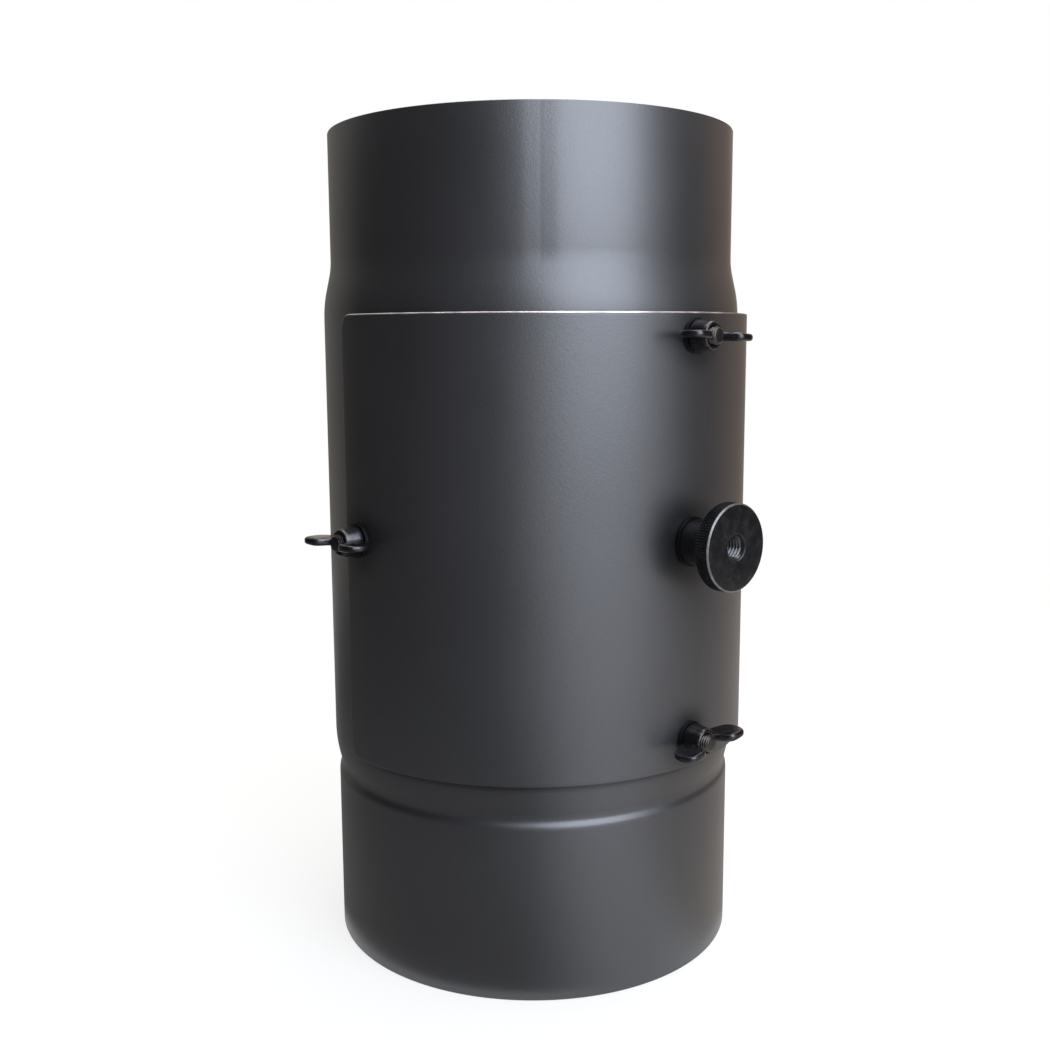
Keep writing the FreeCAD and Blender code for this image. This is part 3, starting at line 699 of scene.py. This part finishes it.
def threadedRod(radius, ends, chamfer, depth, pitch, count=40):
    # A rod whose skin follows a screw thread and narrows at its outer end, closed at both ends
    low, high = ends
    z = np.arange(low, high + 1e-6, pitch / threadRows)[:, None]
    a = np.linspace(0, 2 * math.pi, count, endpoint=False)[None, :]
    r = np.minimum(radius - depth * threadWave(z, a, pitch), radius - chamfer + np.clip(high - z, 0, None))
    rings = np.stack([r * np.cos(a), r * np.sin(a), z + 0 * a], axis=-1)
    inwards = np.array([0.6, 0.6, 1])  # a ring inside each end, and then the pole
    pole = np.array([0, 0, 1])
    first, last = rings[:1], rings[-1:]
    return np.concatenate([first * pole, first * inwards, rings, last * inwards, last * pole]) * mm


def softened(loop, times=3):
    # A closed line whose corners are cut to a quarter and three quarters of each side, again and again
    loop = np.array(loop, float)
    for _ in range(times):
        after = np.roll(loop, -1, axis=0)
        loop = np.stack([0.75 * loop + 0.25 * after, 0.25 * loop + 0.75 * after], axis=1).reshape(-1, 2)
    return loop


def wingGrid(side):
    # Lines run from the wing's heart flat across one face, over the rim, and back to the heart on
    # the other face. Towards the rim each face bends down along a quarter circle.
    outline, heart = softened(fixing["wing"]), np.array(fixing["wingHeart"])
    inwards = (heart - outline) / np.linalg.norm(heart - outline, axis=1, keepdims=True)
    edge, v = fixing["wingEdge"], np.linspace(0, math.pi / 2, fixing["wingEdgeRows"])[:, None]
    rim = outline[None] + inwards[None] * edge * (1 - np.sin(v))[..., None]
    middle = heart + 0 * rim[:1]
    flat = np.concatenate([middle, rim, rim[::-1], middle])
    bend = edge * (1 - np.cos(v))
    bend = np.concatenate([[[0]], bend, bend[::-1], [[0]]])
    root, tip = fixing["wingSheet"]
    near, far = fixing["wingTaper"]
    half = (root + (tip - root) * np.clip((flat[..., 0] - near) / (far - near), 0, 1)) / 2
    across = (half - bend) * np.repeat([1, -1], len(v) + 1)[:, None]
    return np.stack([flat[..., 0] * side, across, flat[..., 1] + fixing["nutFoot"]], axis=-1) * mm


nutPlating = blackSteel("nutPlating", (0.040, 0.040, 0.045), (0.085, 0.084, 0.090), (0.15, 0.25), 0.92)

rod = threadedRod(fixing["studRadius"], fixing["studEnds"], fixing["studChamfer"], *fixing["thread"])
hub = turnedGrid(np.array(fixing["hub"]) * mm + [0, fixing["nutFoot"] * mm])
for place, (azimuth, height, turn) in nutPlaces.items():
    rodSheet = (faceOutwards(rod, azimuth, height), False, True)
    stud = meshPiece(f"{place}ThreadedStud", [rodSheet], finishes["dark_steel"], 50)
    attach(stud, "housing")
    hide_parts(f"{place}_stud")
    parts = [(faceOutwards(hub, azimuth, height, turn), True, True)]
    for side in (1, -1):
        parts.append((faceOutwards(wingGrid(side), azimuth, height, turn), False, True))
    nut = meshPiece(f"{place}CastWingNut", parts, nutPlating, 60)
    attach(nut, f"{place}_nut")
    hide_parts(f"{place}_wing_nut")
print("studs and wing nuts are made")


# Knob: a high knurled nut on the axle's thread
knob = {
    "foot": 82.5,
    "face": 100.5,
    "disc": (15.0, 94.5),  # radius and inner face
    "hub": 8.0,
    "bore": 4.0,
    "insert": (93.2, 4.3),  # where the bare thread starts, and the wall that it is set in
    "chamfers": (0.8, 0.55),  # of the disc's back and face
    "rimBand": 1.2,  # the rim is straight from this far inside its back to this far inside its face
    "mouth": (0.5, 0.6),  # width and depth of the bore's chamfer
    "knurls": 100,
    "knurlDepth": 0.34,
    "knurlEnds": (95.0, 99.7),
    "knurlFade": 0.4,
    "knurlFrom": 9.0,  # radius outside which the knurls are cut
    "knurlColumns": 6,
    "wearAndHighlight": (99.85, 100.05, 100.42, 100.5),  # heights over which the bright rubbed chamfer, partly a painted highlight, comes and goes
    "wearAndHighlightFrom": 13.7,  # and the radius that it starts at
    "thread": (0.62, 1.25),
    "threadColumns": 64,
    "threadMouth": (0.5, 0.7),  # the last turn runs out over this length, by this share
}


def knobBody():
    discRadius, discFoot = knob["disc"]
    face, hub, bore, band = knob["face"], knob["hub"], knob["bore"], knob["rimBand"]
    insertFoot, wallRadius = knob["insert"]
    back, front = knob["chamfers"]
    mouthWidth, mouthDepth = knob["mouth"]
    corners = [
        (bore, knob["foot"], 0), (hub, knob["foot"], 0.5), (hub, discFoot, 1.6),
        (discRadius - back, discFoot, 0.25), (discRadius, discFoot + back, 0.25),
        (discRadius, discFoot + band, 0), (discRadius, face - band, 0),
        (discRadius, face - front, 0.15), (discRadius - front, face, 0.2),
        (wallRadius + mouthWidth, face, 0.2), (wallRadius, face - mouthDepth, 0),
        (wallRadius, insertFoot, 0), (bore, insertFoot, 0),
    ]
    profile = roundedProfile(corners)
    a = np.linspace(0, 2 * math.pi, knob["knurls"] * knob["knurlColumns"], endpoint=False)[None, :]
    r, z = profile[:, 0, None], profile[:, 1, None]
    # straight knurls: the rim's radius rises and falls round it, fading out before the chamfers
    groove = 0.5 - 0.5 * np.cos(a * knob["knurls"])
    low, high = knob["knurlEnds"]
    fade = knob["knurlFade"]
    share = eased((z / mm - low) / fade) * eased((high - z / mm) / fade) * (r / mm > knob["knurlFrom"])
    r = r - knob["knurlDepth"] * mm * groove * share
    grid = np.stack([r * np.cos(a), r * np.sin(a), z + 0 * a], axis=-1)
    sheet = (faceOutwards(grid, 0, axleHeight), True, True)
    body = meshPiece("knurledKnob", [sheet], finishes["black_steel"], 45)
    come, bright, dull, gone = knob["wearAndHighlight"]

    def chamferWearAndHighlight(places):
        # Rubbed metal that also paints a highlight, on the face's chamfer, by height along the axle and
        # distance from it
        z = -places[:, 1] / mm
        edge = np.hypot(places[:, 0], places[:, 2] - axleHeight * mm) / mm > knob["wearAndHighlightFrom"]
        return eased((z - come) / (bright - come)) * eased((gone - z) / (gone - dull)) * edge

    # rubbed chamfer that also serves as a painted highlight
    setShare(body, "wearAndHighlight", chamferWearAndHighlight)
    return body


knobThreadSteel = plainSteel("knobThreadSteel", (0.028, 0.028, 0.03), (0.10, 0.10, 0.104), (0.18, 0.3))


def knobThread():
    # A closed sleeve: bare thread inside, plain outside
    low, wallRadius = knob["insert"]
    high = knob["face"] - knob["chamfers"][1]
    depth, pitch = knob["thread"]
    z = np.arange(low, high, pitch / threadRows)[:, None]
    a = np.linspace(0, 2 * math.pi, knob["threadColumns"], endpoint=False)[None, :]
    r = knob["bore"] - depth * threadWave(z, a, pitch)
    length, share = knob["threadMouth"]
    r = r + (wallRadius - r) * np.clip((z - high + length) / length, 0, share)
    inside = np.stack([r * np.cos(a), r * np.sin(a), z + 0 * a], axis=-1)
    r = np.full((2, 1), wallRadius + 0.05)  # just inside the knob's own wall
    outside = np.stack([r * np.cos(a), r * np.sin(a), z[[-1, 0]] + 0 * a], axis=-1)
    grid = np.concatenate([inside, outside]) * mm
    return meshPiece("knobThread", [(faceOutwards(grid, 0, axleHeight), True, True)], knobThreadSteel, 50)


knobPiece, threadPiece = knobBody(), knobThread()
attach(knobPiece, "filter_disc")
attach(threadPiece, "filter_disc")
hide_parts("knob")
print("knob is made")


# Camera, lights and floor. Turned to face the side that the camera sees, left and right as it sees them
studio = {
    "cameraPlace": (-0.320275, -0.349519, 0.228229),
    "cameraTurn": (81.3935, 0.30175, -42.23201),
    "lens": 41.924,
    "facing": -42.5,
    "aim": (0, 0, 0.15),  # what the lamps point at
    # lamps: degrees right of the camera, degrees up and metres away; width and height; watts; colour
    "keyLamp": ((35, 30.5, 2.4), (2.1, 2.8), 87, (0.82, 0.90, 1.0)),
    "topLamp": ((133, 75, 1.2), (1.5, 1.5), 22, (1.0, 0.97, 0.93)),
    "worldStrength": 0.3,
    # cards: from and to in degrees right of the camera, degrees over which the ends fade out, line of
    # (distance, height), and tone. The nearer cards fade out over the farther ones.
    "cards": [
        (-54, -8, 16, [(0.69, 0.001), (0.69, 0.42)], (0.165, 0.150, 0.185)),
        (-118, 2, 13, [(0.70, 0.001), (0.70, 1.25)], (0.056, 0.048, 0.045)),
        (-171, -92, 13, [(0.72, 0.001), (0.72, 0.6)], (0.38, 0.355, 0.32)),
        (66, 112, 13, [(0.70, 0.001), (0.70, 1.25)], (0.062, 0.052, 0.046)),
        (86, 157, 13, [(0.72, 0.001), (0.72, 1.25)], (0.43, 0.32, 0.245)),
        (131, 215, 13, [(0.74, 0.001), (0.74, 0.6)], (1.0, 0.86, 0.72)),
        (-165, 30, 36, [(0.079, 0.0008), (0.30, 0.0008)], (0.26, 0.253, 0.246)),
        (-165, 30, 36, [(0.30, 0.0008), (0.69, 0.0008)], (0.15, 0.146, 0.142)),
        (45, 210, 24, [(0.079, 0.0004), (0.69, 0.0004)], (0.68, 0.62, 0.56)),
    ],
    "floorColour": (0.86, 0.86, 0.855),
    "floorGlow": (0.75, 1.0),  # share that is plain white to the camera, at the object and far off
    "glowReach": (0.2, 0.7),
    "floorHalf": 6,
    "floorHeight": -0.0002,
    "mottle": (1.02, 0.95),  # second tone of the floor and of the cards, as a share of the first
}


def pointFrom(place):
    # Degrees round from the camera, degrees up and metres away from the aim, as a point
    around, up, away = rad(studio["facing"] + place[0]), rad(place[1]), place[2]
    x, y, z = studio["aim"]
    flat = away * math.cos(up)
    return x + flat * math.sin(around), y - flat * math.cos(around), z + away * math.sin(up)


def aimedFrom(point):
    # The turn that points an object's -z from a point to the aim
    return (Vector(studio["aim"]) - Vector(point)).to_track_quat("-Z", "Y").to_euler()


def softLamp(name):
    # An area lamp that the camera doesn't see
    place, size, power, colour = studio[name]
    data = bpy.data.lights.new(name, "AREA")
    data.shape = "RECTANGLE"
    data.size, data.size_y = size
    data.energy = power
    data.color = colour
    lamp = bpy.data.objects.new(name, data)
    lamp.location = pointFrom(place)
    lamp.rotation_euler = aimedFrom(lamp.location)
    lamp.visible_camera = False
    bpy.context.scene.collection.objects.link(lamp)


cameraData = bpy.data.cameras.new("photoView")
cameraData.lens = studio["lens"]
cameraData.sensor_width = 36
camera = bpy.data.objects.new("photoView", cameraData)
camera.location = studio["cameraPlace"]
camera.rotation_euler = [rad(turn) for turn in studio["cameraTurn"]]
bpy.context.scene.collection.objects.link(camera)
bpy.context.scene.camera = camera
bpy.context.scene.view_settings.view_transform = "Standard"

softLamp("keyLamp")
softLamp("topLamp")


def seenDirectly(nodes, links):
    # 1 for rays from the camera, off gloss and through glass, 0 for light that falls on things
    path = nodes.new("ShaderNodeLightPath")
    total = path.outputs["Is Camera Ray"]
    for ray in ("Is Glossy Ray", "Is Transmission Ray"):
        add = nodes.new("ShaderNodeMath")
        add.operation = "MAXIMUM"
        links.new(total, add.inputs[0])
        links.new(path.outputs[ray], add.inputs[1])
        total = add.outputs[0]
    return total


world = bpy.data.worlds.new("studioWorld")
bpy.context.scene.world = world
world.use_nodes = True
worldNodes, worldLinks = world.node_tree.nodes, world.node_tree.links
background = worldNodes["Background"]
background.inputs["Color"].default_value = (1, 1, 1, 1)
worldLinks.new(
    spread(worldNodes, worldLinks, seenDirectly(worldNodes, worldLinks), studio["worldStrength"], 1, 0, 1),
    background.inputs["Strength"],
)


def floorMaterial():
    # Pale and faintly mottled. A share of it is plain white to the camera, all of it far off, where
    # it runs into the background; near the object it keeps the shadow.
    material, nodes, links, shader, place = newMaterial("paleFloor")
    mottle = noiseAt(nodes, links, place, 6, 3)
    pale = tuple(channel * studio["mottle"][0] for channel in studio["floorColour"])
    links.new(blendColours(nodes, links, mottle, studio["floorColour"], pale), shader.inputs["Base Color"])
    shader.inputs["Roughness"].default_value = 0.9
    white = nodes.new("ShaderNodeEmission")
    white.inputs["Color"].default_value = (1, 1, 1, 1)
    away = nodes.new("ShaderNodeVectorMath")
    away.operation = "LENGTH"
    links.new(place, away.inputs[0])
    share = nodes.new("ShaderNodeMath")
    share.operation = "MULTIPLY"
    glow = spread(nodes, links, away.outputs["Value"], *studio["floorGlow"], *studio["glowReach"])
    links.new(glow, share.inputs[0])
    links.new(seenDirectly(nodes, links), share.inputs[1])
    mix = nodes.new("ShaderNodeMixShader")
    links.new(share.outputs[0], mix.inputs["Fac"])
    links.new(shader.outputs["BSDF"], mix.inputs[1])
    links.new(white.outputs["Emission"], mix.inputs[2])
    links.new(mix.outputs["Shader"], nodes["Material Output"].inputs["Surface"])
    return material


def cardMaterial(name, tone):
    # An even grey with a faint mottle, see-through where the card fades
    material, nodes, links, shader, place = newMaterial(name)
    mottle = noiseAt(nodes, links, place, 4, 2)
    emission = nodes.new("ShaderNodeEmission")
    darker = tuple(channel * studio["mottle"][1] for channel in tone)
    links.new(blendColours(nodes, links, mottle, darker, tone), emission.inputs["Color"])
    clear = nodes.new("ShaderNodeBsdfTransparent")
    mix = nodes.new("ShaderNodeMixShader")
    links.new(shareOf(nodes, "solid"), mix.inputs["Fac"])
    links.new(clear.outputs["BSDF"], mix.inputs[1])
    links.new(emission.outputs["Emission"], mix.inputs[2])
    links.new(mix.outputs["Shader"], nodes["Material Output"].inputs["Surface"])
    return material


def studioCard(name, start, end, soft, line, tone):
    # A card bent round the object along a line of (distance, height). The paint and the metal mirror
    # it, and nothing else sees it.
    a = np.radians(studio["facing"] + np.linspace(start, end, 64))[None, :]
    r, z = np.array(line)[:, 0, None], np.array(line)[:, 1, None]
    bent = np.stack([r * np.sin(a), -r * np.cos(a), z + 0 * a], axis=-1)
    card = meshPiece(name, [(bent, False, False)], cardMaterial(name, tone), outward=False)
    middle, half = studio["facing"] + (start + end) / 2, (end - start) / 2

    def solidShare(places):
        # degrees from the card's middle, whichever way round is shorter
        turn = np.degrees(np.arctan2(places[:, 0], -places[:, 1])) - middle
        return eased((half - np.abs((turn + 180) % 360 - 180)) / soft)

    setShare(card, "solid", solidShare)
    card.visible_camera = False
    card.visible_shadow = False
    card.visible_diffuse = False


floorSpan = np.linspace(-studio["floorHalf"], studio["floorHalf"], 5)
floorPlane = np.meshgrid(floorSpan, floorSpan)
floorGrid = np.stack([*floorPlane, 0 * floorPlane[0] + studio["floorHeight"]], axis=-1)
meshPiece("floor", [(floorGrid, False, False)], floorMaterial(), outward=False)
for index, card in enumerate(studio["cards"]):
    studioCard(f"card{index}", *card)
print("camera, lights and floor are set")
